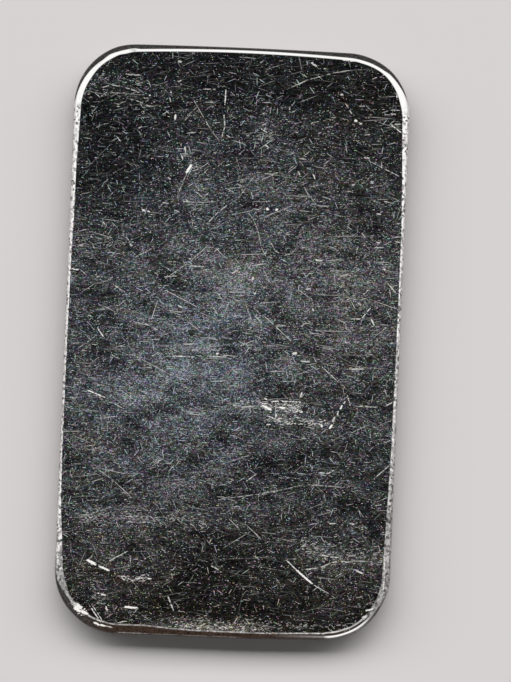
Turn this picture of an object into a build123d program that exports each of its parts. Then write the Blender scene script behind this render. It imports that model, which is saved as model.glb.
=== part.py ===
"""A struck bar of fine silver, one troy ounce: a flat slab with round corners and a rolled edge.

It is one piece. Millimetres, +Z up: the bar lies flat with its length along Y, and the origin is
the middle of its underside.
"""

import os

from build123d import *

# The slab as a whole
bar_width = 28.4
bar_length = 50.0
bar_thickness = 2.15
corner_radius = 5.4

# The rim, in a section across one side. Each face leaves its flat at the rim's inner line and falls
# away in a long arc, turns down through the edge radius, and meets a slightly barrelled side wall.
rim_width = 1.55
rim_drop = 0.12
edge_radius = 0.6
side_bulge = 0.03

# The flat that is left inside the rim
rim_reach = rim_width + side_bulge
flat_width = bar_width - 2 * rim_reach
flat_length = bar_length - 2 * rim_reach
flat_corner_radius = corner_radius - rim_reach


def rim_section():
    """The rim's closed section, with X outwards from the inner line and Y across the bar's thickness.

    It is drawn with sharp edges, from the falling arc of each face and the side wall's bulge between
    them, and the two edges are then rounded. Both faces fall away alike, so it is its own mirror image.
    """
    half_thickness = bar_thickness / 2
    upper_edge = Vector(rim_width, half_thickness - rim_drop)
    lower_edge = Vector(rim_width, rim_drop - half_thickness)
    upper_fall = TangentArc((0, half_thickness), upper_edge, tangent=(1, 0))
    side_wall = ThreePointArc(upper_edge, (rim_reach, 0), lower_edge)
    lower_fall = TangentArc((0, -half_thickness), lower_edge, tangent=(1, 0))
    inner_line = Line((0, -half_thickness), (0, half_thickness))
    sharp = make_face([upper_fall, side_wall, lower_fall, inner_line])
    return fillet(sharp.vertices().group_by(Axis.X)[-1], edge_radius)


def silver_bar():
    """The flat slab inside the rim, with the rim's section carried once round it."""
    flat = RectangleRounded(flat_width, flat_length, flat_corner_radius)
    inner_line = flat.wire()
    along = inner_line % 0
    section_plane = Plane(origin=inner_line @ 0, x_dir=along.cross(Vector(0, 0, 1)), z_dir=along)
    rim = sweep(section_plane * rim_section(), path=inner_line)
    slab = extrude(flat, amount=bar_thickness / 2, both=True)
    return Pos(0, 0, bar_thickness / 2) * (slab + rim)


os.makedirs("parts", exist_ok=True)
export_step(silver_bar(), "parts/silver_bar.step")
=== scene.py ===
from functools import partial

import bpy
import numpy as np
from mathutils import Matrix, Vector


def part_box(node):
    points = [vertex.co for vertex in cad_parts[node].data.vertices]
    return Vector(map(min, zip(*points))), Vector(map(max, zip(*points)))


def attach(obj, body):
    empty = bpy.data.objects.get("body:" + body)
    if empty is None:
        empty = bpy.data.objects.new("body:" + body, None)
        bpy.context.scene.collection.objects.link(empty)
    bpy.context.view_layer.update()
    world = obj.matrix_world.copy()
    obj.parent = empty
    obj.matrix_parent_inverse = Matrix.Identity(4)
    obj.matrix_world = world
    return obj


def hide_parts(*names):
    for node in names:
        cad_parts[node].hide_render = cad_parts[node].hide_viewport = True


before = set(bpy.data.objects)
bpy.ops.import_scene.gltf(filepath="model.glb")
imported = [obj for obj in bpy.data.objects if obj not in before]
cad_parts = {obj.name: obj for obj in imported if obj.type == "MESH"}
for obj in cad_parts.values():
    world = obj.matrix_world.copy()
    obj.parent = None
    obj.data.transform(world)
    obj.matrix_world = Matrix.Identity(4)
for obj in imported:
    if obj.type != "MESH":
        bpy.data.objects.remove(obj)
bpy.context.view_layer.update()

# The bar
# One piece of fine silver, blanked from rolled strip and struck between flat dies, which rolls its edge
# round. Handling has scratched it all over. The dark of its plain mirror face is a painted dark reflection,
# and its bright rim is painted highlight together with wear.
mm = 0.001
low, high = (np.array(corner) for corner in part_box("silver_bar"))
half_width, half_length = (high - low)[:2] / 2
thickness = (high - low)[2]
corner_radius = 5.4 * mm
rim_width = 1.55 * mm
rim_drop = 0.12 * mm
edge_radius = 0.6 * mm
side_bulge = 0.03 * mm
rim_reach = rim_width + side_bulge

# How finely the mesh is cut, and how wide the strip is that joins the rim to the coarser underside
fall_steps, edge_steps, side_steps = 5, 8, 2
face_columns, face_rows = 176, 328
under_share = 4
under_inset = 1.2 * mm


def rim_profile():
    """The rim's section from the upper flat to the lower one, by its normal's lean from upright.

    Each face falls on a large circle centred under the flat's border, the side wall bulges on a large circle
    centred inside the bar, and the edge is the circle that touches both from within. A point is its circle's
    centre plus the radius along the normal. The lower half is the upper one mirrored. Returns the lean, the
    reach outwards from the flat's border and the height above the middle of the thickness.
    """
    half = thickness / 2
    fall_radius = (rim_width**2 + rim_drop**2) / (2 * rim_drop)
    fall_centre = np.array([0, half - fall_radius])
    wall_half = half - rim_drop
    wall_radius = (wall_half**2 + side_bulge**2) / (2 * side_bulge)
    wall_centre = np.array([rim_reach - wall_radius, 0])
    apart = wall_centre - fall_centre
    gap = np.hypot(*apart)
    fall_leg, wall_leg = fall_radius - edge_radius, wall_radius - edge_radius
    along = (fall_leg**2 - wall_leg**2 + gap**2) / (2 * gap)
    across = np.sqrt(fall_leg**2 - along**2)
    edge_centre = fall_centre + (along * apart + across * np.array([apart[1], -apart[0]])) / gap
    lean_to_edge = np.arctan2(*(edge_centre - fall_centre))
    lean_to_wall = np.arctan2(*(edge_centre - wall_centre))
    leans = [np.linspace(0, lean_to_edge, fall_steps, endpoint=False),
             np.linspace(lean_to_edge, lean_to_wall, edge_steps, endpoint=False),
             np.linspace(lean_to_wall, np.pi / 2, side_steps + 1)]
    centres = [fall_centre, edge_centre, wall_centre]
    radii = [fall_radius, edge_radius, wall_radius]
    arcs = [c + r * np.column_stack([np.sin(a), np.cos(a)]) for a, c, r in zip(leans, centres, radii)]
    lean = np.concatenate(leans)
    reach, height = np.vstack(arcs).T
    return (np.concatenate([lean, np.pi - lean[-2::-1]]),
            np.concatenate([reach, reach[-2::-1]]),
            np.concatenate([height, -height[-2::-1]]))


def rounded_grid(half_x, half_y, radius, columns, rows):
    """A grid of points over a rectangle with round corners, and the way outwards at each.

    Each ring of the grid is a rectangle one cell smaller than the ring outside it. Where a ring passes a
    corner, the run along its two sides within the corner's radius is bent onto a quarter circle, evenly by
    angle, and the radius is one cell smaller on each ring until the corners are as good as square.
    """
    column, row = np.meshgrid(np.arange(columns + 1), np.arange(rows + 1), indexing="ij")
    cell_x, cell_y = 2 * half_x / columns, 2 * half_y / rows
    ring = np.minimum(np.minimum(column, columns - column), np.minimum(row, rows - row))
    x, y = column * cell_x - half_x, row * cell_y - half_y
    ring_x, ring_y = half_x - ring * cell_x, half_y - ring * cell_y
    square_radius = radius * 1e-6
    ring_radius = np.maximum(radius - ring * (cell_x + cell_y) / 2, square_radius)
    past_side = np.abs(y) - (ring_y - ring_radius)
    past_end = ring_x - np.abs(x)
    turn = np.clip((past_side + past_end) / (2 * ring_radius), 0, 1) * np.pi / 2
    in_corner = (past_side > 0) & (past_end < ring_radius)
    bent_x = ring_x - ring_radius + ring_radius * np.cos(turn)
    bent_y = ring_y - ring_radius + ring_radius * np.sin(turn)
    side_x, side_y = np.where(x < 0, -1, 1), np.where(y < 0, -1, 1)
    bent = np.stack([side_x * bent_x, side_y * bent_y], axis=-1)
    points = np.where(in_corner[..., None], bent, np.stack([x, y], axis=-1))
    outwards = np.stack([side_x * np.cos(turn), side_y * np.sin(turn)], axis=-1)
    return points, outwards


def border(grid):
    """The border of a grid, once round against the clock from its lower left corner."""
    return np.concatenate([grid[:-1, 0], grid[-1, :-1], grid[:0:-1, -1], grid[0, :0:-1]])


def quads(numbers):
    """The quads between neighbouring rows and columns of a grid of vertex numbers."""
    around = (numbers[:-1, :-1], numbers[1:, :-1], numbers[1:, 1:], numbers[:-1, 1:])
    return np.stack(around, axis=-1).reshape(-1, 4)


# The upper flat, the rim carried round its border, and a coarser underside, sewn to the rim by triangles
lean, reach, height = rim_profile()
flat_x, flat_y, flat_radius = half_width - rim_reach, half_length - rim_reach, corner_radius - rim_reach
face_points, face_outwards = rounded_grid(flat_x, flat_y, flat_radius, face_columns, face_rows)
under_points, _ = rounded_grid(flat_x - under_inset, flat_y - under_inset, flat_radius - under_inset,
                               face_columns // under_share, face_rows // under_share)
loop_points, loop_outwards = border(face_points), border(face_outwards)
loop_length, face_size, under_size = len(loop_points), face_points[..., 0].size, under_points[..., 0].size
rim_points = loop_points[None] + reach[1:, None, None] * loop_outwards[None]
rim_height = np.repeat(height[1:, None], loop_length, axis=1)

# Two places are worn inside the struck outline: the near right corner, from just past the near end's middle,
# and the far side, more and more towards its ends. Each table has the way that the rim faces, in degrees from
# the bar's right against the clock, and its share of the wear, which grows with the rim's reach outwards.
corner_wear, far_wear = 0.2 * mm, 0.08 * mm
corner_shares = ((269, 0), (270, 1), (335, 1), (360, 0))
far_shares = ((45, 0), (70, 1), (95, 1), (112, 0))
worn_from = 1.7 * mm
end_half = half_width - corner_radius
loop_facing = np.degrees(np.arctan2(loop_outwards[:, 1], loop_outwards[:, 0])) % 360
wear_in = corner_wear * np.interp(loop_facing, *zip(*corner_shares))
wear_in *= np.clip((loop_points[:, 0] - worn_from) / (end_half - worn_from), 0, 1)
far_share = np.interp(loop_facing, *zip(*far_shares))
wear_in += far_wear * far_share * np.clip(loop_points[:, 0] / end_half, -1, 1) ** 2
rim_points -= (reach[1:, None] / rim_reach * wear_in)[..., None] * loop_outwards

place = np.vstack([
    np.column_stack([face_points.reshape(-1, 2), np.full(face_size, thickness)]),
    np.column_stack([rim_points.reshape(-1, 2), rim_height.ravel() + thickness / 2]),
    np.column_stack([under_points.reshape(-1, 2), np.zeros(under_size)]),
])
rim_lean = np.repeat(lean[1:], loop_length)
rim_outwards = np.tile(loop_outwards, (len(lean) - 1, 1))
normal = np.vstack([
    np.tile([0.0, 0.0, 1.0], (face_size, 1)),
    np.column_stack([rim_outwards * np.sin(rim_lean)[:, None], np.cos(rim_lean)]),
    np.tile([0.0, 0.0, -1.0], (under_size, 1)),
])

face_numbers = np.arange(face_size).reshape(face_points.shape[:2])
rim_numbers = face_size + np.arange(rim_lean.size).reshape(-1, loop_length)
rim_numbers = np.vstack([border(face_numbers), rim_numbers])
rim_numbers = np.column_stack([rim_numbers, rim_numbers[:, 0]])
under_numbers = face_size + rim_lean.size + np.arange(under_size).reshape(under_points.shape[:2])
upper_quads = np.vstack([quads(face_numbers), quads(rim_numbers)])
under_quads = quads(under_numbers)[:, ::-1]

# Each cell of the underside's border meets four of the rim's foot in five triangles
rim_foot = rim_numbers[-1]
under_border = border(under_numbers)
under_border = np.append(under_border, under_border[0])
here, ahead = under_border[:-1], under_border[1:]
cell_starts = np.arange(0, loop_length, under_share)
foot = [rim_foot[cell_starts + k] for k in range(under_share + 1)]
sewn = np.vstack([np.column_stack(corners) for corners in (
    (foot[1], foot[0], here), (foot[2], foot[1], here), (ahead, foot[2], here),
    (foot[3], foot[2], ahead), (foot[4], foot[3], ahead))])

# Where the photo's marks lie on the bar. The photo is a flatbed scan, so a pixel is one step of its pitch
# everywhere. In it the bar is bar_rows long, has its middle at bar_pixel and is turned by bar_turn.
bar_rows = 590.0
scan_pitch = 2 * half_length / bar_rows
bar_pixel = np.array([232.1, 342.8])
bar_turn = np.radians(2.4)
across_pixels = np.array([np.cos(bar_turn), np.sin(bar_turn)])
along_pixels = np.array([np.sin(bar_turn), -np.cos(bar_turn)])


def on_bar(pixels):
    """Pixels of the photo as places on the face: their offset from the bar's middle, along its own axes."""
    offset = np.asarray(pixels, float) - bar_pixel
    return np.stack([offset @ across_pixels, offset @ along_pixels], axis=-1) * scan_pitch


# Dents, pressed in along the normal: the pixel at the middle, the reach in pixels, the depth in millimetres
dents = (
    ((77, 608), 5.0, 0.1),
    ((84, 613), 4.0, 0.06),
    ((100, 626), 5.0, 0.05),
    ((72, 217), 3.0, 0.05),
    ((59, 536), 5.0, 0.05),
    ((69, 300), 4.0, 0.03),
    ((397, 330), 4.0, 0.03),
    ((390, 480), 5.0, 0.03),
    ((343, 633), 6.0, 0.04),
    ((188, 170), 5.0, 0.015),
    ((268, 407), 9.0, 0.010),
)
upper = np.flatnonzero(place[:, 2] > thickness / 2)
for pixel, reach_pixels, depth in dents:
    offset = (place[upper, :2] - on_bar(pixel)) / (reach_pixels * scan_pitch)
    pressed = depth * mm * np.exp(-(offset**2).sum(axis=1) / 2)
    place[upper] -= normal[upper] * pressed[:, None]

# The deeper scratches, each as its width in the scan's pixels, its brightness share, which is partly a
# painted glint, and the pixels that it runs through. The scan's blur widens each by scan_blur.
scan_blur = 0.4
deep_scratches = (
    (1.1, 0.5, (193, 99), (198, 108), (205, 120), (212, 132), (220, 142)),
    (1.6, 0.8, (226, 91), (225, 106)),
    (1.4, 0.6, (224, 116), (225, 127), (222, 137)),
    (1.2, 0.55, (203, 90), (216, 90)),
    (3.2, 1.0, (186, 174), (192, 165)),
    (1.4, 0.5, (193, 172), (202, 168)),
    (1.8, 0.75, (185, 147), (186, 156)),
    (1.8, 0.8, (181, 153), (183, 160)),
    (2.6, 0.8, (176, 115), (175, 121)),
    (1.3, 0.5, (100, 89), (111, 86), (121, 87), (131, 90), (139, 93)),
    (2.0, 0.4, (126, 75), (141, 76)),
    (2.0, 0.95, (142, 210), (150, 212)),
    (1.4, 0.6, (163, 203), (169, 204)),
    (1.4, 0.6, (209, 222), (219, 212), (227, 206)),
    (1.2, 0.5, (227, 189), (234, 193)),
    (1.4, 0.55, (103, 222), (107, 226)),
    (1.4, 0.55, (117, 137), (121, 142)),
    (1.4, 0.5, (138, 131), (143, 136)),
    (1.8, 0.7, (168, 178), (171, 180)),
    (3.0, 0.55, (178, 62), (182, 63)),
    (1.2, 0.45, (287, 90), (307, 81), (333, 74), (351, 71)),
    (3.0, 0.95, (354, 121), (357, 122)),
    (2.2, 0.6, (359, 125), (362, 124)),
    (1.4, 0.55, (349, 111), (352, 115)),
    (2.4, 0.6, (340, 96), (343, 95)),
    (1.3, 0.85, (390, 125), (403, 135)),
    (1.1, 0.6, (368, 161), (383, 169), (399, 177)),
    (1.4, 0.85, (396, 94), (397, 102)),
    (1.3, 0.65, (260, 129), (268, 134)),
    (1.2, 0.6, (272, 125), (275, 128)),
    (1.4, 0.75, (265, 145), (269, 149)),
    (1.8, 0.85, (313, 175), (315, 180)),
    (1.6, 0.65, (298, 172), (300, 176)),
    (1.2, 0.5, (237, 184), (244, 188)),
    (3.0, 1.0, (266, 209), (269, 210)),
    (2.8, 1.0, (275, 210), (278, 210)),
    (1.1, 0.5, (247, 212), (253, 219), (258, 231), (261, 247), (266, 257), (272, 258)),
    (1.2, 0.5, (271, 243), (275, 251), (280, 254)),
    (1.8, 0.9, (72, 269), (80, 270)),
    (1.2, 0.6, (114, 285), (125, 292)),
    (1.1, 0.4, (138, 256), (154, 248)),
    (1.1, 0.42, (164, 280), (190, 262), (209, 245)),
    (1.4, 0.5, (163, 277), (177, 276)),
    (1.1, 0.55, (167, 291), (199, 308)),
    (1.6, 0.75, (177, 305), (183, 308)),
    (1.1, 0.45, (161, 302), (169, 306)),
    (1.2, 0.6, (141, 321), (158, 330)),
    (1.5, 0.85, (98, 328), (105, 338)),
    (1.3, 0.55, (92, 327), (95, 330)),
    (1.1, 0.5, (132, 354), (168, 373)),
    (1.4, 0.7, (175, 356), (197, 357)),
    (1.4, 0.6, (205, 356), (227, 357)),
    (2.6, 0.8, (216, 354), (219, 353)),
    (1.5, 0.85, (86, 389), (107, 398)),
    (1.2, 0.55, (116, 404), (123, 408)),
    (1.2, 0.5, (211, 304), (218, 315)),
    (1.2, 0.45, (216, 248), (223, 256)),
    (1.8, 0.8, (315, 260), (322, 261)),
    (1.6, 0.55, (232, 274), (239, 269)),
    (3.0, 0.7, (252, 278), (254, 279)),
    (1.2, 0.6, (254, 315), (262, 323)),
    (1.1, 0.6, (264, 316), (275, 326), (292, 342)),
    (3.0, 0.7, (292, 354), (297, 353)),
    (1.4, 0.65, (300, 361), (311, 362)),
    (1.2, 0.65, (322, 367), (337, 381)),
    (1.4, 0.75, (351, 319), (361, 319), (366, 313), (370, 308)),
    (1.5, 0.75, (371, 319), (374, 326)),
    (1.5, 0.55, (363, 295), (368, 290)),
    (1.6, 0.6, (350, 369), (365, 369)),
    (1.5, 0.6, (386, 282), (396, 294)),
    (2.0, 0.95, (312, 309), (314, 311)),
    (1.6, 0.75, (259, 402), (280, 401), (302, 402)),
    (1.4, 0.6, (237, 407), (258, 406)),
    (2.6, 1.0, (262, 405), (272, 410)),
    (2.6, 1.0, (279, 407), (285, 408)),
    (1.6, 0.7, (345, 401), (343, 404)),
    (2.2, 0.95, (342, 405), (340, 409)),
    (1.8, 0.85, (338, 411), (337, 415)),
    (2.2, 0.6, (335, 416), (332, 422)),
    (2.8, 1.0, (332, 424), (329, 429)),
    (1.8, 0.8, (306, 385), (305, 388)),
    (1.9, 0.8, (302, 392), (300, 397)),
    (2.4, 0.95, (321, 424), (322, 427)),
    (2.2, 0.7, (275, 414), (277, 416)),
    (1.6, 0.7, (292, 407), (298, 410)),
    (1.5, 0.6, (347, 395), (350, 406)),
    (1.4, 0.5, (357, 406), (376, 407)),
    (1.5, 0.6, (385, 406), (392, 402)),
    (1.1, 0.4, (348, 434), (369, 424)),
    (1.1, 0.42, (96, 467), (114, 480), (133, 498)),
    (1.0, 0.4, (97, 467), (124, 473)),
    (3.4, 1.0, (87, 559), (97, 564)),
    (2.6, 1.0, (99, 565), (110, 570)),
    (1.2, 0.6, (110, 560), (129, 550)),
    (2.0, 0.8, (130, 577), (151, 578)),
    (1.6, 0.65, (120, 575), (128, 576)),
    (2.0, 0.9, (98, 592), (107, 595)),
    (2.6, 0.95, (124, 606), (138, 607)),
    (1.5, 0.85, (89, 603), (101, 621)),
    (1.3, 0.65, (92, 603), (103, 620)),
    (2.0, 0.8, (106, 605), (109, 613)),
    (1.6, 0.65, (168, 595), (174, 610)),
    (1.4, 0.55, (118, 622), (127, 620)),
    (1.3, 0.55, (160, 546), (166, 552)),
    (1.5, 0.6, (211, 565), (219, 569)),
    (1.4, 0.7, (318, 472), (328, 473), (335, 469)),
    (1.3, 0.6, (374, 478), (389, 465)),
    (1.3, 0.55, (246, 481), (257, 473)),
    (1.4, 0.38, (225, 498), (256, 494), (284, 489), (304, 484), (346, 487)),
    (1.1, 0.5, (228, 517), (239, 528)),
    (1.1, 0.45, (247, 525), (262, 539)),
    (1.6, 0.8, (287, 560), (299, 572)),
    (2.4, 0.95, (296, 569), (313, 584)),
    (1.3, 0.6, (313, 584), (329, 593)),
    (1.4, 0.55, (302, 569), (320, 567), (331, 562), (339, 560), (350, 562)),
    (1.6, 0.65, (321, 554), (329, 556), (339, 557)),
    (2.0, 0.8, (354, 569), (363, 573)),
    (1.6, 0.6, (329, 523), (336, 523)),
    (1.8, 0.6, (348, 522), (354, 524)),
    (2.4, 0.8, (365, 610), (373, 608)),
    (2.2, 0.7, (361, 617), (366, 615)),
    (1.2, 0.6, (381, 552), (385, 558)),
    (1.2, 0.45, (127, 99), (136, 101), (146, 105), (152, 109)),
    (1.2, 0.5, (165, 110), (170, 115)),
    (1.3, 0.45, (90, 106), (96, 108)),
    (1.8, 0.8, (138, 129), (142, 127)),
    (2.4, 0.9, (149, 96), (151, 96)),
    (1.6, 0.5, (171, 91), (172, 96)),
    (1.6, 0.5, (170, 98), (171, 103)),
    (1.6, 0.65, (178, 83), (182, 81)),
    (1.2, 0.4, (191, 115), (185, 121)),
    (1.1, 0.35, (97, 128), (103, 125), (110, 124)),
    (1.3, 0.4, (90, 87), (95, 83), (96, 88)),
    (1.1, 0.45, (233, 141), (245, 145)),
    (1.4, 0.55, (227, 136), (230, 138)),
    (1.3, 0.55, (289, 111), (290, 107)),
    (1.5, 0.6, (262, 114), (267, 115)),
    (1.5, 0.6, (295, 133), (298, 133)),
    (1.3, 0.5, (311, 124), (314, 123)),
    (1.2, 0.35, (186, 103), (193, 103)),
    (1.1, 0.35, (198, 107), (186, 118)),
    (1.3, 0.45, (186, 134), (196, 133)),
    (1.4, 0.45, (206, 103), (216, 103)),
    (1.3, 0.45, (260, 64), (263, 62)),
    (2.4, 0.75, (311, 64), (313, 64)),
    (1.8, 0.7, (342, 61), (352, 62), (361, 62)),
    (1.3, 0.5, (370, 81), (377, 78)),
    (1.4, 0.5, (362, 136), (370, 135)),
    (1.2, 0.4, (381, 114), (389, 111), (400, 111)),
    (2.0, 0.5, (390, 115), (396, 115)),
    (2.0, 0.5, (394, 125), (400, 125)),
    (2.0, 0.35, (358, 107), (365, 107)),
    (1.2, 0.4, (311, 124), (319, 122)),
    (1.4, 0.6, (381, 76), (390, 75)),
    (2.0, 0.6, (312, 65), (317, 67)),
    (1.1, 0.5, (188, 172), (183, 183), (179, 193), (177, 199)),
    (1.6, 0.5, (174, 210), (179, 212)),
    (1.6, 0.55, (166, 235), (169, 235)),
    (1.8, 0.55, (91, 237), (94, 238)),
    (2.0, 0.55, (130, 245), (133, 246)),
    (1.3, 0.4, (93, 244), (95, 249)),
    (1.4, 0.4, (80, 245), (84, 247)),
    (1.0, 0.32, (229, 205), (238, 199), (247, 187), (256, 174)),
    (1.2, 0.45, (193, 190), (203, 198)),
    (1.1, 0.4, (203, 198), (209, 193)),
    (1.1, 0.35, (183, 202), (200, 203), (217, 202)),
    (1.1, 0.3, (254, 202), (271, 202)),
    (1.2, 0.3, (237, 181), (249, 179)),
    (1.6, 0.3, (260, 181), (274, 175)),
    (1.3, 0.4, (288, 173), (296, 167)),
    (1.1, 0.4, (304, 187), (309, 198)),
    (1.1, 0.4, (299, 161), (303, 166)),
    (1.0, 0.35, (253, 217), (256, 212), (262, 208)),
    (1.0, 0.4, (284, 256), (291, 254), (296, 249)),
    (1.4, 0.35, (283, 234), (291, 235)),
    (1.2, 0.4, (283, 209), (293, 213)),
    (2.2, 0.65, (229, 230), (230, 231)),
    (2.0, 0.5, (234, 233), (235, 234)),
    (1.0, 0.3, (214, 230), (224, 223)),
    (1.1, 0.4, (194, 260), (204, 254)),
    (1.8, 0.45, (189, 266), (204, 267)),
    (1.1, 0.35, (235, 259), (239, 263)),
    (2.0, 0.5, (364, 158), (369, 159)),
    (1.1, 0.4, (304, 189), (310, 197), (316, 205)),
    (1.6, 0.35, (316, 206), (329, 207)),
    (1.4, 0.4, (322, 197), (331, 200)),
    (2.0, 0.55, (370, 182), (373, 184)),
    (1.6, 0.5, (384, 202), (389, 203)),
    (1.8, 0.55, (376, 214), (381, 215)),
    (1.8, 0.6, (376, 243), (380, 243)),
    (1.6, 0.45, (373, 248), (384, 248)),
    (1.6, 0.55, (395, 242), (401, 243)),
    (1.3, 0.45, (395, 224), (400, 224)),
    (1.3, 0.45, (394, 238), (400, 237)),
    (1.8, 0.45, (351, 186), (355, 185)),
    (1.8, 0.35, (299, 159), (306, 160)),
    (1.2, 0.45, (147, 340), (160, 339)),
    (1.0, 0.35, (78, 348), (87, 343), (96, 336)),
    (1.0, 0.3, (81, 352), (94, 342)),
    (1.2, 0.35, (72, 343), (81, 343)),
    (1.6, 0.45, (111, 354), (120, 359)),
    (1.6, 0.45, (183, 344), (195, 344)),
    (1.5, 0.45, (96, 310), (106, 309)),
    (1.6, 0.5, (88, 315), (92, 316)),
    (1.2, 0.4, (130, 322), (135, 319)),
    (1.1, 0.35, (180, 274), (187, 277)),
    (1.1, 0.4, (218, 294), (223, 301)),
    (1.1, 0.35, (255, 309), (260, 314)),
    (1.4, 0.4, (275, 325), (286, 326)),
    (1.4, 0.5, (301, 327), (305, 323), (309, 324)),
    (1.3, 0.35, (260, 303), (280, 302)),
    (1.8, 0.5, (305, 289), (311, 289)),
    (2.0, 0.6, (254, 293), (256, 294)),
    (1.8, 0.4, (192, 350), (199, 350)),
    (1.2, 0.3, (203, 338), (214, 337)),
    (1.2, 0.35, (274, 364), (279, 369)),
    (1.1, 0.3, (264, 346), (279, 346)),
    (1.3, 0.5, (335, 318), (345, 323)),
    (2.0, 0.6, (383, 269), (385, 271)),
    (2.2, 0.35, (339, 277), (349, 274)),
    (1.6, 0.35, (334, 306), (339, 307)),
    (1.4, 0.35, (380, 298), (385, 298)),
    (2.2, 0.4, (357, 303), (361, 305)),
    (1.4, 0.4, (390, 343), (396, 343)),
    (1.4, 0.35, (343, 342), (350, 343)),
    (1.6, 0.7, (384, 556), (384, 572), (383, 590)),
    (1.4, 0.4, (383, 590), (380, 602)),
    (1.6, 0.32, (116, 631.6), (150, 633.1)),
    (1.6, 0.17, (150, 633.1), (180, 634.3), (210, 635.5), (240, 636.7)),
    (4.6, 1.0, (75, 606), (81, 611)),
    (4.0, 1.0, (77, 603), (83, 608)),
    (3.4, 1.0, (80, 610), (89, 613)),
    (2.8, 0.95, (94, 621.2), (100, 624.2), (106, 625.0)),
    (1.8, 0.5, (106, 625), (113, 626.5)),
)

# Scuffs, where many short strokes lie side by side: the pixels at the two ends, the spread across, the number
# of strokes and their brightness share, which is partly a painted glint
scuffs = (
    ((235, 406), (302, 406), 7.0, 60, 0.55),
    ((258, 405), (300, 407), 5.0, 130, 1.0),
    ((265, 420), (326, 423), 4.5, 90, 0.85),
    ((79, 515), (205, 520), 6.0, 170, 0.4),
    ((175, 624), (272, 629), 4.0, 80, 0.9),
    ((72, 603), (86, 612), 4.0, 90, 1.0),
    ((120, 577), (150, 578), 4.0, 40, 0.75),
    ((130, 616), (365, 628), 4.0, 130, 0.4),
    ((300, 545), (385, 560), 11.0, 130, 0.45),
    ((95, 590), (110, 612), 12.0, 30, 0.35),
    ((255, 137), (275, 137), 7.0, 40, 0.35),
    ((105, 240), (130, 242), 6.0, 40, 0.3),
    ((180, 150), (200, 172), 10.0, 40, 0.4),
    ((75, 80), (150, 110), 16.0, 60, 0.35),
)
# Their strokes, in pixels: how much of the spread they scatter by across and down the photo, the logarithm of
# the half run and its spread, the spread of the slope, and the ranges of the width and the brightness
stroke_scatter = (0.4, 1.0)
stroke_log_run, stroke_log_spread = 0.3, 0.5
stroke_slope = 0.4
stroke_widths = (0.9, 1.7)
stroke_shares = (0.4, 1.0)
chance = np.random.default_rng(11)


def scratch_lines():
    """Deeper scratches and the scuffs' strokes in straight pieces: middle, half run, half width, share."""
    starts, ends, widths, shares = [], [], [], []
    for width, share, *pixels in deep_scratches:
        starts += pixels[:-1]
        ends += pixels[1:]
        widths += [width] * (len(pixels) - 1)
        shares += [share] * (len(pixels) - 1)
    for first, last, spread, count, share in scuffs:
        first, last = np.array(first, float), np.array(last, float)
        spot = first + chance.random((count, 1)) * (last - first)
        spot += chance.normal(0, spread / 2, (count, 2)) * stroke_scatter
        run = chance.lognormal(stroke_log_run, stroke_log_spread, (count, 1))
        run = run * np.column_stack([np.ones(count), chance.normal(0, stroke_slope, count)])
        starts += (spot - run).tolist()
        ends += (spot + run).tolist()
        widths += chance.uniform(*stroke_widths, count).tolist()
        shares += (share * chance.uniform(*stroke_shares, count)).tolist()
    starts, ends = on_bar(starts), on_bar(ends)
    half_widths = (np.array(widths) - scan_blur) / 2 * scan_pitch
    return (starts + ends) / 2, (ends - starts) / 2, half_widths, np.array(shares)


# Real hairlines are too fine to show in the render, so these are drawn as wide as they need to show
hairline_level_share = 0.8
hairline_level_spread = np.radians(14)
hairline_half_width = 0.026 * mm
hairline_widths = (0.7, 1.4)
hairline_log_spread = 0.55
hairline_share_power = 5


def hairlines(count, half_run, least, most):
    """Light scratches from handling: even over the face, most of them headed across the bar, few bright.

    Half runs spread round the given one as a lognormal, half widths spread evenly round the usual one, and
    brightness shares rise from least to most as a power of an even draw.
    """
    middle = chance.uniform(-1, 1, (count, 2)) * (half_width, half_length)
    level = chance.random(count) < hairline_level_share
    heading = np.where(level, chance.normal(0, hairline_level_spread, count), chance.uniform(0, np.pi, count))
    run = half_run * chance.lognormal(0, hairline_log_spread, count)
    run = run[:, None] * np.column_stack([np.cos(heading), np.sin(heading)])
    width = hairline_half_width * chance.uniform(*hairline_widths, count)
    share = least + (most - least) * chance.random(count) ** hairline_share_power
    return middle, run, width, share


# A place beyond a scratch, with no brightness, for the corners that no scratch comes near
undrawn = (2.0, 2.0, 0.0)


def drawn_on(corners, middle, run, width, share):
    """For each face, its corners' places within the scratch that lies nearest to it.

    Within a scratch the two coordinates run from -1 to 1 along it and across it. They are linear over the
    face, so a scratch is drawn sharp even where it is finer than the mesh. The third value is the scratch's
    brightness. A scratch reaches faces whose middles lie within a little over half a face of it.
    """
    centre = corners.mean(axis=1)
    over_half = 0.6
    slack = np.ptp(corners, axis=1).max() * over_half
    half_run = np.hypot(*run.T)
    way = run / half_run[:, None]
    by_height = np.argsort(centre[:, 1], kind="stable")
    rise = centre[by_height, 1]
    span = half_run + slack
    firsts, lasts = np.searchsorted(rise, middle[:, 1] - span), np.searchsorted(rise, middle[:, 1] + span)
    nearest, least = np.zeros(len(centre), int), np.full(len(centre), np.inf)
    for k, (first, last) in enumerate(zip(firsts, lasts)):
        close = by_height[first:last]
        offset = centre[close] - middle[k]
        ahead = offset @ way[k]
        aside = offset @ (-way[k][1], way[k][0])
        away = np.hypot(ahead / span[k], aside / (width[k] + slack))
        nearer = away < least[close]
        least[close[nearer]] = away[nearer]
        nearest[close[nearer]] = k
    offset = corners - middle[nearest][:, None]
    way, half_run, width = way[nearest][:, None], half_run[nearest][:, None], width[nearest][:, None]
    ahead = (offset * way).sum(axis=-1) / half_run
    aside = (offset[..., 1] * way[..., 0] - offset[..., 0] * way[..., 1]) / width
    drawn = np.stack([ahead, aside, np.repeat(share[nearest][:, None], corners.shape[1], axis=1)], axis=-1)
    drawn[least > 1] = undrawn
    return drawn


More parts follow.
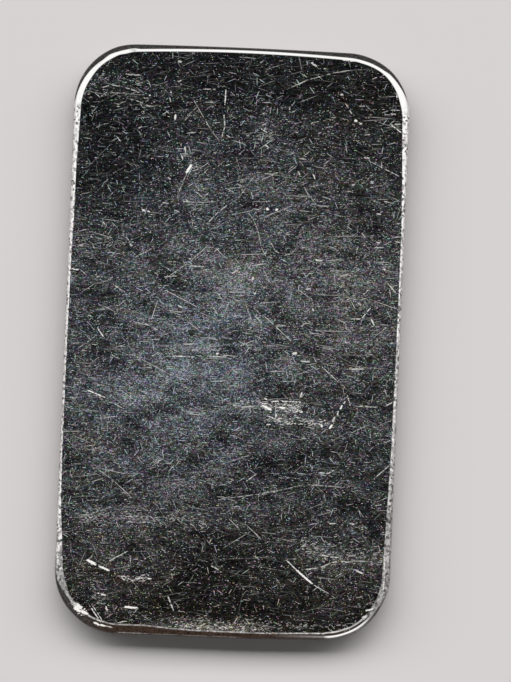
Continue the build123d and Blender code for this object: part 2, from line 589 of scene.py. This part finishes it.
scene = bpy.context.scene
mesh = bpy.data.meshes.new("silver_bar_worn")
mesh.from_pydata(place.tolist(), [], upper_quads.tolist() + under_quads.tolist() + sewn.tolist())
mesh.shade_smooth()
bar = bpy.data.objects.new("silver_bar_worn", mesh)
scene.collection.objects.link(bar)


def carry(name, domain, values):
    """Gives the mesh a vector at each vertex or face corner. Corners after the given ones are undrawn."""
    layer = mesh.attributes.new(name, "FLOAT_VECTOR", domain)
    whole = np.full((len(layer.data), 3), undrawn)
    whole[:len(values)] = values
    layer.data.foreach_set("vector", whole.ravel())


# Scratches lie where the normal's upright part is over least_up. Wide ones have smoother borders.
least_up = 0.2
gouge_half_width = 0.8 * scan_pitch
faces_up = normal[upper_quads, 2].min(axis=1) > least_up
up_corners = place[upper_quads[faces_up], :2]
cuts = scratch_lines()
wide = cuts[2] > gouge_half_width
carried_lines = (
    ("gouge", [values[wide] for values in cuts]),
    ("deep", [values[~wide] for values in cuts]),
    ("hair", hairlines(count=2400, half_run=0.6 * mm, least=0.06, most=0.85)),
    ("faint", hairlines(count=3000, half_run=0.45 * mm, least=0.04, most=0.4)),
)
for name, lines in carried_lines:
    drawn = np.full((len(upper_quads), 4, 3), undrawn)
    drawn[faces_up] = drawn_on(up_corners, *lines)
    carry(name, "CORNER", drawn.reshape(-1, 3))

# How the rim looks round the corners: the way that it faces, in degrees from the bar's right against the
# clock, then the pixels in from the outline where its bright line, painted highlight together with wear,
# starts and ends, how bright that is, how bright the painted glint on its outer edge is, and how grainy
rim_looks = np.array((
    (0, 0.0, 7.0, 0.95, 0.0, 0.8),
    (6, 0.0, 7.5, 1.0, 0.0, 0.3),
    (15, 0.5, 8.1, 1.0, 0.0, 0.0),
    (30, 2.7, 8.0, 1.0, 0.0, 0.0),
    (45, 3.8, 7.9, 1.0, 0.0, 0.0),
    (52, 5.0, 7.9, 1.0, 0.0, 0.0),
    (60, 5.4, 8.3, 1.0, 0.0, 0.0),
    (75, 6.0, 8.9, 1.0, 0.0, 0.0),
    (85, 5.9, 8.6, 1.0, 0.0, 0.0),
    (90, 5.7, 8.2, 1.0, 0.0, 0.0),
    (95, 4.8, 8.4, 1.0, 0.0, 0.6),
    (105, 5.6, 9.4, 1.0, 0.0, 0.0),
    (112, 5.6, 8.8, 1.0, 0.0, 0.0),
    (120, 4.9, 9.2, 1.0, 0.0, 0.0),
    (129, 5.8, 9.1, 1.0, 0.0, 0.0),
    (135, 5.2, 9.0, 1.0, 0.0, 0.2),
    (150, 4.0, 9.2, 1.0, 0.0, 0.0),
    (165, 2.6, 8.2, 1.0, 0.0, 0.0),
    (175, 1.3, 7.5, 1.0, 0.0, 0.2),
    (179.9, 0.2, 7.1, 1.0, 0.0, 0.4),
    (180.1, 0.6, 8.2, 0.44, 0.0, 1.0),
    (186, 1.0, 9.4, 0.28, 0.0, 1.0),
    (192, 2.2, 9.8, 0.24, 0.0, 1.0),
    (200, 4.6, 10.2, 0.24, 0.0, 1.0),
    (210, 6.8, 9.4, 0.36, 0.0, 1.0),
    (230, 8.6, 10.4, 0.33, 0.0, 1.0),
    (240, 9.0, 10.6, 0.35, 0.0, 1.0),
    (255, 9.6, 11.0, 0.35, 0.0, 1.0),
    (264, 9.4, 10.8, 0.3, 0.0, 0.9),
    (269.9, 9.2, 10.6, 0.3, 0.0, 0.8),
    (270.1, 7.7, 9.2, 0.5, 0.35, 0.6),
    (274, 8.1, 9.7, 0.65, 0.95, 0.4),
    (285, 8.2, 9.9, 0.65, 1.0, 0.4),
    (292, 8.4, 10.0, 0.65, 1.0, 0.4),
    (300, 7.9, 9.3, 0.5, 1.0, 0.4),
    (312, 7.7, 9.5, 0.4, 0.8, 0.7),
    (320, 5.5, 9.3, 0.25, 0.35, 1.0),
    (340, 1.0, 9.2, 0.22, 0.0, 1.0),
    (350, 0.5, 9.0, 0.25, 0.0, 1.0),
    (360, 0.0, 8.2, 0.27, 0.0, 1.0),
))
all_outwards = np.vstack([face_outwards.reshape(-1, 2), rim_outwards, np.zeros((under_size, 2))])
facing_way = np.degrees(np.arctan2(all_outwards[:, 1], all_outwards[:, 0])) % 360
bright_line_start, bright_line_end, wear_and_highlight, outer_glint, graininess = (
    np.interp(facing_way, rim_looks[:, 0], column) for column in rim_looks[:, 1:].T)

# Along the straight long sides, from far to near: the pixel row, where the bright line ends and how bright it
# is
left_looks = np.array((
    (110, 7.0, 1.0),
    (165, 5.0, 0.9),
    (225, 4.4, 0.95),
    (280, 3.4, 1.0),
    (335, 3.0, 1.0),
    (450, 2.7, 0.95),
    (504, 3.8, 0.8),
    (560, 7.8, 0.46),
))
right_looks = np.array((
    (125, 6.9, 0.95),
    (181, 4.6, 0.95),
    (237, 3.4, 0.85),
    (293, 3.4, 0.68),
    (349, 3.6, 0.55),
    (462, 4.6, 0.46),
    (518, 6.4, 0.32),
    (574, 8.2, 0.27),
))
pixel_row = bar_pixel[1] + (place[:, 0] * across_pixels[1] + place[:, 1] * along_pixels[1]) / scan_pitch
straight = 0.99999
left_side, right_side = all_outwards[:, 0] < -straight, all_outwards[:, 0] > straight
for along_side, looks in ((left_side, left_looks), (right_side, right_looks)):
    bright_line_end[along_side] = np.interp(pixel_row[along_side], looks[:, 0], looks[:, 1])
    wear_and_highlight[along_side] = np.interp(pixel_row[along_side], looks[:, 0], looks[:, 2])
    graininess[along_side] = 1.0

# Along the far side the line is nearest to the outline in the middle, and moves in as the square of the way
# out to the corners, in pixels
far_start, far_end, far_move = 3.3, 5.8, 2.4
far_side = all_outwards[:, 1] > straight
out_along = place[far_side, 0] / end_half
bright_line_start[far_side] = far_start + far_move * out_along**2
bright_line_end[far_side] = far_end + far_move * out_along**2

# Along the near end, from left to right: the pixels from the bar's middle, where the line starts, how bright
# it is and how bright the painted glint on the outer edge is
near_looks = np.array((
    (-100, 9.2, 0.28, 0.0),
    (-75, 9.3, 0.26, 0.0),
    (-50, 7.4, 0.36, 0.0),
    (-25, 6.4, 0.31, 0.0),
    (25, 6.2, 0.32, 0.0),
    (50, 5.9, 0.22, 0.0),
    (75, 6.6, 0.42, 0.1),
    (100, 7.2, 0.54, 0.22),
))
near_width = 1.4
near_end = all_outwards[:, 1] < -straight
bright_line_start[near_end], wear_and_highlight[near_end], outer_glint[near_end] = (
    np.interp(place[near_end, 0] / scan_pitch, near_looks[:, 0], column) for column in near_looks[:, 1:].T)
bright_line_end[near_end] = bright_line_start[near_end] + near_width

# What the shader needs at the rim: the pixels in from the outline, below zero under the bar's waist, where
# the bright line starts and ends, how bright it and the painted outer glint are, and how much the rim faces
# the near end, which turns its painted dark reflection to a brown painted reflection of the shadow there
near_falloff = 6
near_side = np.clip(-all_outwards[:, 1], 0, 1) ** near_falloff
inset = np.where(rim_lean > np.pi / 2, -1, 1) * np.repeat(rim_reach - reach[1:], loop_length)
well_inside = 60.0
all_inset = np.concatenate([
    np.full(face_size, well_inside),
    inset / scan_pitch,
    np.full(under_size, -well_inside),
])
all_inset[border(face_numbers)] = rim_reach / scan_pitch
carry("rim", "POINT", np.column_stack([all_inset, bright_line_start, bright_line_end]))
carry("rim_wear_highlight_shade", "POINT", np.column_stack([wear_and_highlight, outer_glint, near_side]))

# Where the face has a painted sheen, as soft patches: the pixel at the middle, the reach across and along,
# the amount. A negative amount is a place painted darker.
sheen_patches = (
    ((225, 330), (150, 140), 0.48),
    ((225, 500), (120, 45), 0.04),
    ((213, 352), (36, 52), 0.22),
    ((132, 405), (42, 60), 0.14),
    ((345, 285), (38, 70), 0.12),
    ((242, 272), (22, 13), 0.2),
    ((112, 515), (60, 10), 0.12),
    ((345, 556), (34, 12), 0.14),
    ((106, 560), (30, 26), 0.12),
    ((348, 588), (24, 18), 0.1),
    ((112, 90), (22, 16), 0.12),
    ((208, 626), (30, 3.6), 0.6),
    ((250, 629), (20, 3.0), 0.35),
    ((170, 108), (24, 18), 0.1),
    ((268, 136), (18, 12), 0.12),
    ((285, 388), (36, 9), -0.2),
    ((285, 466), (32, 14), -0.18),
    ((120, 165), (26, 46), -0.16),
    ((212, 556), (30, 26), -0.12),
    ((230, 75), (170, 34), -0.06),
)

# Where the painted reflection's tint is warmer or, with a negative amount, cooler, as patches of the same
# kind
warmth_patches = (
    ((225, 640), (260, 75), 0.75),
    ((350, 290), (40, 110), 0.22),
    ((92, 436), (14, 14), 0.3),
    ((242, 272), (22, 13), 0.3),
    ((375, 95), (34, 44), 0.3),
    ((213, 355), (48, 62), -0.22),
    ((145, 170), (44, 44), -0.2),
    ((140, 400), (44, 60), -0.15),
)


def patches_at(points, patches):
    """The sum of soft patches at some points: each falls off from its middle as a bell curve of its reach."""
    total = np.zeros(len(points))
    for middle, reach_pixels, amount in patches:
        offset = (points - on_bar(middle)) / (np.array(reach_pixels) * scan_pitch)
        total += amount * np.exp(-(offset**2).sum(axis=1) / 2)
    return total


# The mesh carries the painted sheen, the painted reflection's tint and the rim's graininess
least_sheen, usual_warmth = 0.05, 0.2
sheen_amount = np.maximum(patches_at(place[:, :2], sheen_patches), least_sheen)
warmth = np.clip(usual_warmth + patches_at(place[:, :2], warmth_patches), 0, 1)
carry("painted_sheen_tint", "POINT", np.column_stack([sheen_amount, warmth, graininess]))


def linear(code):
    """An sRGB hex colour as the linear colour that a shader takes, by the curve of the sRGB standard."""
    values = np.array([int(code[k:k + 2], 16) for k in (1, 3, 5)]) / 255
    return (*np.where(values <= 0.04045, values / 12.92, ((values + 0.055) / 1.055) ** 2.4), 1.0)


def add_node(tree, kind, inputs, **settings):
    """Adds a node with its settings, gives each input a value or a link, and returns the outputs."""
    made = tree.nodes.new(kind)
    for name, value in settings.items():
        setattr(made, name, value)
    for key, value in inputs.items():
        if isinstance(value, bpy.types.NodeSocket):
            tree.links.new(value, made.inputs[key])
        else:
            made.inputs[key].default_value = value
    return made.outputs


# Fine silver with a polished, struck surface. Its face is painted dark, a painted dark reflection, with a
# bright line wherever a scratch cuts through, and white metal along the rim, a painted highlight together
# with the bare metal that handling keeps there.
silver = bpy.data.materials.new("scratched_silver_painted_reflections")
silver.use_nodes = True
tree = silver.node_tree
add = partial(add_node, tree)
shader = tree.nodes["Principled BSDF"]
shader.inputs["Metallic"].default_value = 1.0
# The darkest colour is a painted dark reflection; the next two are the face's painted sheen
dark_reflection_paint = linear("#050505")
sheen_cool, sheen_warm = linear("#BCC8D6"), linear("#D0C2B0")
worn_cool, worn_warm = linear("#CCDAE8"), linear("#E2D3C0")
# The bare silver is painted highlight together with bare metal
fresh_silver, bare_and_highlight_silver = linear("#F6F4EF"), linear("#FDFCFA")
# The two edge colours are a painted dark reflection and a brown painted reflection of shadow
painted_edge_dark, painted_edge_shadow, wall_grey = linear("#3F3D3C"), linear("#3A2E27"), linear("#7E7C79")
on_object = add("ShaderNodeTexCoord", {})["Object"]

# The kinds of node that come up most. A mix node has its numbers at 2 and 3, its colours at 6 and 7 and its
# colour out at 2. A range node takes the range at 1 and 2 to the one at 3 and 4.
calc, vectors = "ShaderNodeMath", "ShaderNodeVectorMath"
blend, remap = "ShaderNodeMix", "ShaderNodeMapRange"


def carried(name):
    """The three values that the mesh carries under a name."""
    values = add("ShaderNodeAttribute", {}, attribute_name=name)["Vector"]
    return add("ShaderNodeSeparateXYZ", {0: values})


# Painted sheen and tint, the rim's places, and its painted highlight, glint and shadow reflection
sheen_here, warmth_here, grainy_here = carried("painted_sheen_tint")
inset_here, line_start, line_end = carried("rim")
# The rim's painted highlight with wear, its painted outer glint, and how far the painted shadow reflection
# goes
wear_and_highlight_here, outer_glint_here, near_here = carried("rim_wear_highlight_shade")

# The patterns in the metal: noise for its grain, clouds and blotches, by size and detail, and crystals. Real
# grain and crystals are too fine to show in the render, so they are drawn as coarse as they need to show. The
# noise, which gives a value and a colour, is drawn out across the bar, as most of the scratches are.
noise_sizes = ((0.11 * mm, 2.0), (1.5 * mm, 3.0), (0.26 * mm, 1.0))
crystal_size = 0.2 * mm
drawn_out = (0.55, 1.0, 1.0)
stretched = add(vectors, {0: on_object, 1: drawn_out}, operation="MULTIPLY")[0]
(grain, _), (clouds, _), (_, blotches) = (
    add("ShaderNodeTexNoise", {"Vector": stretched, "Scale": 1 / size, "Detail": detail})
    for size, detail in noise_sizes)
crystals = add("ShaderNodeTexVoronoi", {"Vector": on_object, "Scale": 1 / crystal_size})["Color"]
noise_low, noise_middle, noise_high = 0.3, 0.5, 0.7

stroke_solid_to = 0.7
stroke_power = 1.5


def strokes(spacing, half_run, half_wide, spread, bare_from):
    """A layer of short straight scratches, one in each cell of a Voronoi pattern, through the cell's point.

    The cell's random colour gives the scratch its heading, spread about straight across the bar, and a number
    from 0 to 1. Under bare_from there is no scratch, and above it the strength rises to 1 as a power. The
    offset from the middle, turned to the heading, is measured in half lengths along it and half widths across
    it, and the scratch fades out where the length of that reaches 1. Returns the strength and the colour.
    """
    in_cells = add(vectors, {0: on_object, 1: (1 / spacing, 1 / spacing, 0)}, operation="MULTIPLY")[0]
    cells = add("ShaderNodeTexVoronoi", {"Vector": in_cells, "Scale": 1.0}, voronoi_dimensions="2D")
    offset = add(vectors, {0: in_cells, 1: cells["Position"]}, operation="SUBTRACT")[0]
    drawn = add("ShaderNodeSeparateColor", {0: cells["Color"]})
    turn = add(calc, {0: drawn[0], 1: spread, 2: -spread / 2}, operation="MULTIPLY_ADD")[0]
    turned = add("ShaderNodeVectorRotate", {"Vector": offset, "Angle": turn}, rotation_type="Z_AXIS")[0]
    to_stroke = (spacing / half_run, spacing / half_wide, 0)
    in_stroke = add(vectors, {0: turned, 1: to_stroke}, operation="MULTIPLY")[0]
    away = add(vectors, {0: in_stroke}, operation="LENGTH")["Value"]
    inside = add(remap, {0: away, 1: 1.0, 2: stroke_solid_to}, interpolation_type="SMOOTHSTEP")[0]
    strength = add(remap, {0: drawn[1], 1: bare_from, 2: 1.0})[0]
    strength = add(calc, {0: strength, 1: stroke_power}, operation="POWER")[0]
    return add(calc, {0: inside, 1: strength}, operation="MULTIPLY")[0], cells["Color"]


def scratches(name, raggedness, solid_from, bluntness):
    """The scratches that the mesh carries, out to where along^bluntness + across^2 reaches 1.

    The metal's grain is added to that sum, so the borders are ragged and thin places break. Where the sum is
    under solid_from, a scratch has its full brightness.
    """
    along, across, share = carried(name)
    run = add(calc, {0: along}, operation="ABSOLUTE")[0]
    end = add(calc, {0: run, 1: bluntness}, operation="POWER")[0]
    away = add(calc, {0: across, 1: across, 2: end}, operation="MULTIPLY_ADD")[0]
    torn = add(calc, {0: grain, 1: raggedness, 2: -raggedness / 2}, operation="MULTIPLY_ADD")[0]
    away = add(calc, {0: away, 1: torn}, operation="ADD")[0]
    inside = add(remap, {0: away, 1: 1.0, 2: solid_from}, interpolation_type="SMOOTHSTEP")[0]
    return add(calc, {0: inside, 1: share}, operation="MULTIPLY")[0]


# The painted sheen comes in clouds, and more of it leaves fewer cells bare. Real strokes are finer: these
# three layers, by spacing, half run, half width and spread, are drawn as wide as they need to show.
thin_cloud, thick_cloud = 0.3, 1.7
clouded = add(remap, {0: clouds, 1: noise_low, 2: noise_high, 3: thin_cloud, 4: thick_cloud})[0]
clouded_sheen = add(calc, {0: sheen_here, 1: clouded}, operation="MULTIPLY")[0]
bare_usual, bare_by_sheen, bare_of_long = 0.972, -0.38, 0.7
bare_from = add(calc, {0: clouded_sheen, 1: bare_by_sheen, 2: bare_usual}, operation="MULTIPLY_ADD")[0]
specks, speck_cell = strokes(0.066 * mm, 0.055 * mm, 0.028 * mm, np.radians(50), bare_from)
level_strokes, level_cell = strokes(0.17 * mm, 0.24 * mm, 0.024 * mm, np.radians(36), bare_from)
long_strokes, _ = strokes(0.6 * mm, 0.45 * mm, 0.026 * mm, np.pi, bare_of_long)
all_strokes = add(calc, {0: specks, 1: level_strokes}, operation="ADD")[0]
all_strokes = add(calc, {0: all_strokes, 1: long_strokes}, operation="ADD", use_clamp=True)[0]
thin_cuts = scratches("deep", raggedness=6.0, solid_from=0.4, bluntness=4.0)
gouges = scratches("gouge", raggedness=3.0, solid_from=0.5, bluntness=4.0)
deep = add(calc, {0: thin_cuts, 1: gouges}, operation="MAXIMUM")[0]
hair, faint = (scratches(name, raggedness=2.6, solid_from=0.2, bluntness=2.0) for name in ("hair", "faint"))
hair = add(calc, {0: hair, 1: faint}, operation="MAXIMUM")[0]
hair_usual, hair_by_sheen = 0.45, 0.6
hair_gain = add(calc, {0: sheen_here, 1: hair_by_sheen, 2: hair_usual}, operation="MULTIPLY_ADD",
                use_clamp=True)[0]
hair = add(calc, {0: hair, 1: hair_gain}, operation="MULTIPLY")[0]

# The face: a painted dark reflection, lifted into a painted sheen in blotches and where the sheen patches
# lie, with strokes rubbed through it. The sheen also evens out the grain and the tints.
shade = add("ShaderNodeTexWhiteNoise", {"Vector": speck_cell})
swing_usual, swing_by_sheen = 6.4, -2.0
swing = add(calc, {0: sheen_here, 1: swing_by_sheen, 2: swing_usual}, operation="MULTIPLY_ADD")[0]
ripple = add(calc, {0: grain, 1: noise_middle}, operation="SUBTRACT")[0]
ripple = add(calc, {0: ripple, 1: swing}, operation="MULTIPLY")[0]
ripple = add(calc, {0: ripple}, operation="EXPONENT")[0]
mottle_least, mottle_swing = 0.25, 1.5
mottled = add(calc, {0: shade["Value"], 1: mottle_swing, 2: mottle_least}, operation="MULTIPLY_ADD")[0]
mottled = add(calc, {0: mottled, 1: ripple}, operation="MULTIPLY")[0]
sheen_least, sheen_gain = 0.006, 0.165
level = add(calc, {0: clouded_sheen, 1: sheen_gain, 2: sheen_least}, operation="MULTIPLY_ADD")[0]
sheen_share = add(calc, {0: level, 1: mottled}, operation="MULTIPLY", use_clamp=True)[0]
sheen_tone = add(blend, {0: warmth_here, 6: sheen_cool, 7: sheen_warm}, data_type="RGBA")[2]
blotch_share, blotch_saturation = 0.4, 2.0
tinted = add("ShaderNodeHueSaturation", {"Saturation": blotch_saturation, "Color": blotches})[0]
sheen_tone = add(blend, {0: blotch_share, 6: sheen_tone, 7: tinted}, data_type="RGBA")[2]
painted_face = add(blend, {0: sheen_share, 6: dark_reflection_paint, 7: sheen_tone}, data_type="RGBA")[2]
worn = add(blend, {0: warmth_here, 6: worn_cool, 7: worn_warm}, data_type="RGBA")[2]
stroke_shade = add("ShaderNodeTexWhiteNoise", {"Vector": level_cell})["Color"]
tint = add(blend, {0: level_strokes, 6: shade["Color"], 7: stroke_shade}, data_type="RGBA")[2]
tint_usual, tint_by_sheen = 0.52, -0.25
tint_share = add(calc, {0: sheen_here, 1: tint_by_sheen, 2: tint_usual}, operation="MULTIPLY_ADD")[0]
worn = add(blend, {0: tint_share, 6: worn, 7: tint}, data_type="RGBA")[2]
face_colour = add(blend, {0: all_strokes, 6: painted_face, 7: worn}, data_type="RGBA")[2]
face_colour = add(blend, {0: hair, 6: face_colour, 7: fresh_silver}, data_type="RGBA")[2]

# The rim: a mottled painted dark reflection outside its bright line, turning to a brown painted reflection
# of the shadow at the near end, and a plain worn grey down its wall. All places on it are pixels in from
# the outline.
edge_least, edge_swing = -0.8, 3.6
edge = add(blend, {0: near_here, 6: painted_edge_dark, 7: painted_edge_shadow}, data_type="RGBA")[2]
edge_shade = add(calc, {0: grain, 1: edge_swing, 2: edge_least}, operation="MULTIPLY_ADD")[0]
edge = add(vectors, {0: edge, "Scale": edge_shade}, operation="SCALE")[0]
wall_starts, wall_whole = 0.45, 0.15
walled = add(remap, {0: inset_here, 1: wall_starts, 2: wall_whole})[0]
above_wall = add(calc, {0: 1.0, 1: walled}, operation="SUBTRACT")[0]
edge = add(blend, {0: walled, 6: edge, 7: wall_grey}, data_type="RGBA")[2]
line_blur = 0.35
inside_line = add(calc, {0: inset_here, 1: line_end}, operation="SUBTRACT")[0]
inside_line = add(remap, {0: inside_line, 1: -line_blur, 2: line_blur})[0]
under_starts, under_whole = -5.0, -8.0
under_rim = add(remap, {0: inset_here, 1: under_starts, 2: under_whole})[0]
on_face = add(calc, {0: inside_line, 1: under_rim}, operation="MAXIMUM")[0]
colour = add(blend, {0: on_face, 6: edge, 7: face_colour}, data_type="RGBA")[2]

# The rim's bright line, painted highlight together with wear, broken by grain into painted sparkle, and a
# painted glint further out at the near right corner
past_start = add(calc, {0: inset_here, 1: line_start}, operation="SUBTRACT")[0]
in_line = add(remap, {0: past_start, 1: -line_blur, 2: line_blur})[0]
in_line = add(calc, {0: in_line, 1: inside_line}, operation="SUBTRACT", use_clamp=True)[0]
for share in (wear_and_highlight_here, above_wall):
    in_line = add(calc, {0: in_line, 1: share}, operation="MULTIPLY")[0]
dim_crystal, bright_crystal = 0.1, 1.9
rim_grain = add("ShaderNodeSeparateColor", {0: crystals})[2]
rim_grain = add(remap, {0: rim_grain, 3: dim_crystal, 4: bright_crystal})[0]
rim_grain = add(blend, {0: grainy_here, 2: 1.0, 3: rim_grain})[0]
in_line = add(calc, {0: in_line, 1: rim_grain}, operation="MULTIPLY", use_clamp=True)[0]
outer_starts, outer_whole, outer_fades, outer_gone = 2.6, 3.4, 4.9, 5.5
outside_outer = 0.12
outer = add(remap, {0: inset_here, 1: outer_starts, 2: outer_whole, 3: outside_outer, 4: 1.0})[0]
outer_end = add(remap, {0: inset_here, 1: outer_gone, 2: outer_fades})[0]
for share in (outer_end, above_wall, outer_glint_here):
    outer = add(calc, {0: outer, 1: share}, operation="MULTIPLY")[0]
bright_rim = add(calc, {0: in_line, 1: outer}, operation="MAXIMUM")[0]
colour = add(blend, {0: bright_rim, 6: colour, 7: bare_and_highlight_silver}, data_type="RGBA")[2]
colour = add(blend, {0: deep, 6: colour, 7: fresh_silver}, data_type="RGBA")[2]

# A scratch is rougher than the polish, and as deep as it is bright
smooth, rough = 0.22, 0.42
cut = add(calc, {0: hair, 1: deep}, operation="MAXIMUM")[0]
scatter = add(calc, {0: all_strokes, 1: cut}, operation="MAXIMUM")[0]
roughness = add(remap, {0: scatter, 3: smooth, 4: rough})[0]
stroke_depth, cut_depth = 0.4, 0.006 * mm
groove = add(calc, {0: all_strokes, 1: stroke_depth, 2: cut}, operation="MULTIPLY_ADD")[0]
bump = add("ShaderNodeBump", {"Height": groove, "Distance": cut_depth}, invert=True)[0]
for name, value in (("Base Color", colour), ("Roughness", roughness), ("Normal", bump)):
    tree.links.new(value, shader.inputs[name])
bar.data.materials.append(silver)

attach(bar, "root")
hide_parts("silver_bar")

# The floor
# A plain pale sheet, matt, that the bar lies on. It reaches far past the bar on every side.
floor_half = 1.0
floor_corners = [(x * floor_half, y * floor_half, 0.0) for x, y in ((-1, -1), (1, -1), (1, 1), (-1, 1))]
floor_mesh = bpy.data.meshes.new("floor")
floor_mesh.from_pydata(floor_corners, [], [(0, 1, 2, 3)])
floor = bpy.data.objects.new("floor", floor_mesh)
scene.collection.objects.link(floor)
paper = bpy.data.materials.new("matt_pale_paper")
paper.use_nodes = True
paper_shader = paper.node_tree.nodes["Principled BSDF"]
paper_shader.inputs["Base Color"].default_value = linear("#E2DEDE")
paper_shader.inputs["Roughness"].default_value = 0.9
paper_shader.inputs["Specular IOR Level"].default_value = 0.1
floor_mesh.materials.append(paper)

# The light
# One broad lamp leans over the bar's far end and throws its shadow nearwards; the metal doesn't mirror it.
# A white tent closes the bar in, so that the metal mirrors an even white and shows the painted reflection,
# sheen and highlights in its colour.
photo_right = np.array([np.cos(bar_turn), np.sin(bar_turn), 0.0])
photo_up = np.array([-np.sin(bar_turn), np.cos(bar_turn), 0.0])
upright = np.array([0.0, 0.0, 1.0])
lamp_lean, lamp_half_depth, lamp_half_spread = np.radians(47), np.radians(14), np.radians(76)
lamp_distance = 8.0
lamp_radiance = 4.9
lamp_light = bpy.data.lights.new("far_end_softbox", "AREA")
lamp_light.shape = "RECTANGLE"
lamp_light.size = 2 * lamp_distance * np.tan(lamp_half_spread)
lamp_light.size_y = 2 * lamp_distance * np.tan(lamp_half_depth)
lamp_light.energy = lamp_radiance * np.pi * lamp_light.size * lamp_light.size_y
lamp = bpy.data.objects.new("far_end_softbox", lamp_light)
lamp.location = lamp_distance * (np.sin(lamp_lean) * photo_up + np.cos(lamp_lean) * upright)
lamp.rotation_euler = (-lamp_lean, 0.0, bar_turn)
lamp.visible_camera = False
lamp.visible_glossy = False
scene.collection.objects.link(lamp)

tent = bpy.data.worlds.new("pale_tent")
tent.use_nodes = True
scene.world = tent
tent_tree = tent.node_tree
add = partial(add_node, tent_tree)
tent_light = tent_tree.nodes["Background"]
ambient, backdrop, mirrored = 0.08, 0.78, 1.0
ray = add("ShaderNodeLightPath", {})
bright = add(blend, {0: ray["Is Camera Ray"], 2: ambient, 3: backdrop})[0]
sharp = add(calc, {0: ray["Is Glossy Ray"], 1: ray["Is Transmission Ray"]}, operation="MAXIMUM")[0]
bright = add(blend, {0: sharp, 2: bright, 3: mirrored})[0]
tent_tree.links.new(bright, tent_light.inputs["Strength"])
tent_light.inputs["Color"].default_value = (1.0, 1.0, 1.0, 1.0)

# The camera
# It looks straight down, as the scanner did, from so far that perspective moves the bar's
# ends by about one pixel.
photo_columns, photo_rows = 511, 682
camera_data = bpy.data.cameras.new("camera")
camera_data.lens = 200
camera_data.sensor_width = 36
camera = bpy.data.objects.new("camera", camera_data)
camera_height = photo_rows * scan_pitch * camera_data.lens / camera_data.sensor_width
off_middle = (np.array([photo_columns, photo_rows]) / 2 - bar_pixel) * scan_pitch
beside_bar = off_middle[0] * photo_right - off_middle[1] * photo_up
camera.location = beside_bar + (camera_height + thickness / 2) * upright
camera.rotation_euler = (0.0, 0.0, bar_turn)
scene.collection.objects.link(camera)
scene.camera = camera
scene.view_settings.view_transform = "Standard"
